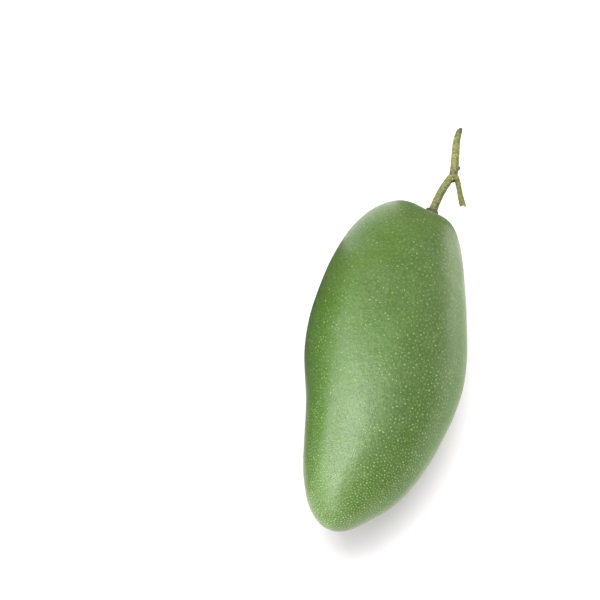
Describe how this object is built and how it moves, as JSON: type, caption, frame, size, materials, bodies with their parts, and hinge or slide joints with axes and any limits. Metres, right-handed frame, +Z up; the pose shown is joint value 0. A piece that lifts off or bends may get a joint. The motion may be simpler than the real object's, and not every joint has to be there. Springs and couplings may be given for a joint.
{
  "type": "mango",
  "caption": "Long green unripe mango as picked, lying on its broad side, with a bent beak, dotted smooth skin and its own short forked stem.",
  "frame": {"origin": "middle of the small flat spot on the underside that the fruit rests on", "axes": "+Z up, through the fruit's thickness. +Y along the fruit, from its beak to its stem end. +X from the belly edge to the fuller back edge."},
  "size_m": [0.0731, 0.1911, 0.0613],
  "materials": {
    "skin": "satin",
    "stem": "matte"
  },
  "bodies": {
    "root": {"mango_fruit": "skin", "mango_stem": "stem"}
  },
  "joints": []
}
